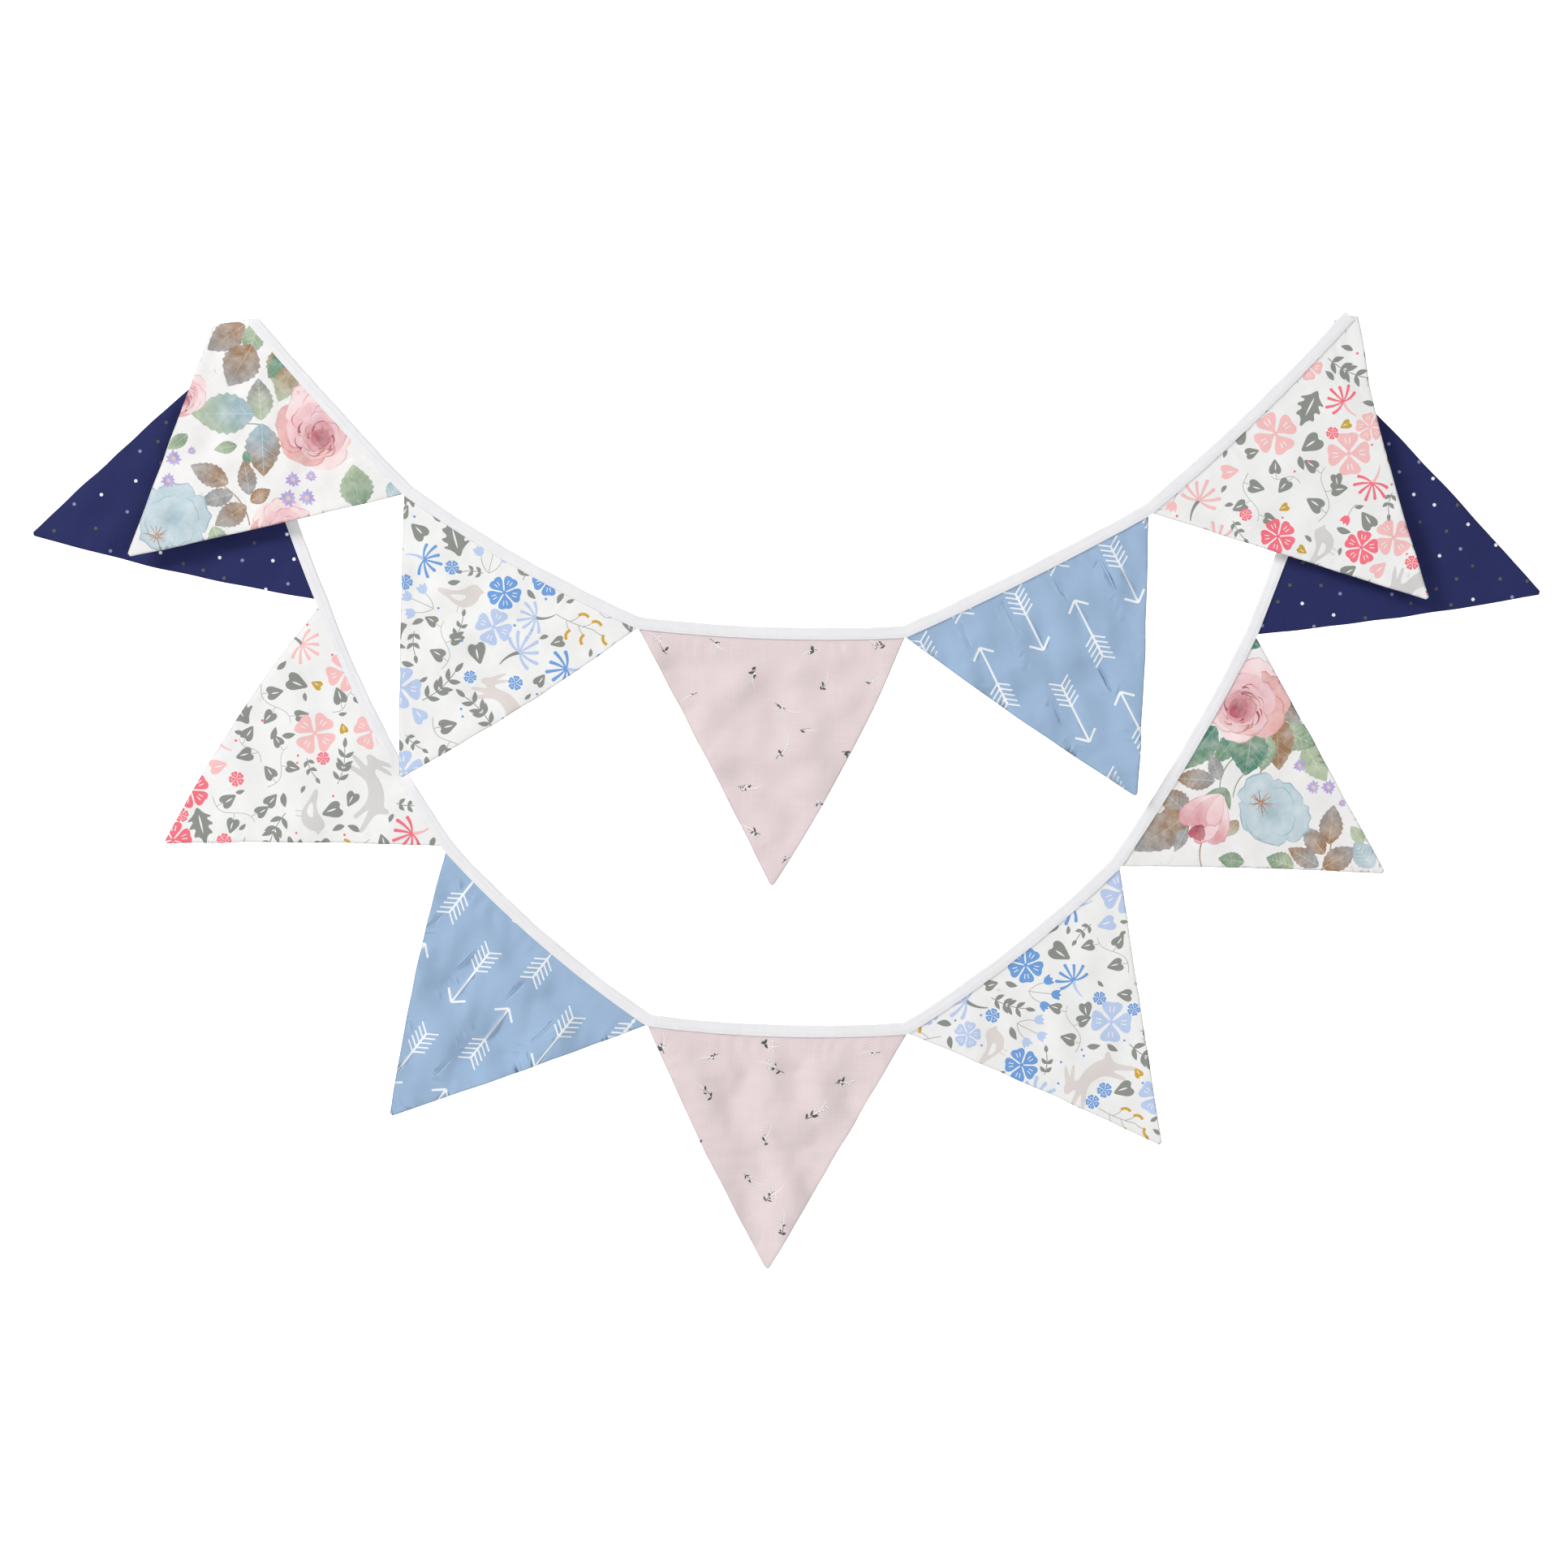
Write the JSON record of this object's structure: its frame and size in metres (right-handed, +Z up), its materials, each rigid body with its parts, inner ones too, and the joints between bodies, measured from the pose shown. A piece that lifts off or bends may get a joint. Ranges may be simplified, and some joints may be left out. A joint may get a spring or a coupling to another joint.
{
  "type": "fabric bunting",
  "caption": "Fabric bunting: double-sided printed cloth pennants sewn side by side into a folded white tape, hung in swags from its turned-over middle and its ends.",
  "frame": {"origin": "the left hang point, on the line that the tape turns over, midway between the front and the rear swag", "axes": "+Z up, +X along the swags from the left hang point to the right one, the front faces -Y"},
  "size_m": [1.1372, 0.0156, 0.7202],
  "materials": {
    "white_tape": "matte woven cotton tape",
    "rose_floral": "matte printed cotton, off-white with roses and leaves",
    "blue_floral": "matte printed cotton, off-white with blue and grey motifs",
    "pink_sprig": "matte printed cotton, pale pink with small sprigs",
    "blue_arrows": "matte printed cotton, mid blue with white arrows",
    "coral_floral": "matte printed cotton, off-white with coral and grey motifs",
    "navy_dots": "matte printed cotton, navy with scattered dots"
  },
  "bodies": {
    "root": {"tape": "white_tape", "upper_1_rose": "rose_floral", "upper_2_blue_floral": "blue_floral", "upper_3_pink_sprig": "pink_sprig", "upper_4_arrows": "blue_arrows", "upper_5_coral_floral": "coral_floral", "lower_1_navy_dots": "navy_dots", "lower_2_coral_floral": "coral_floral", "lower_3_arrows": "blue_arrows", "lower_4_pink_sprig": "pink_sprig", "lower_5_blue_floral": "blue_floral", "lower_6_rose": "rose_floral", "lower_7_navy_dots": "navy_dots"}
  },
  "joints": []
}
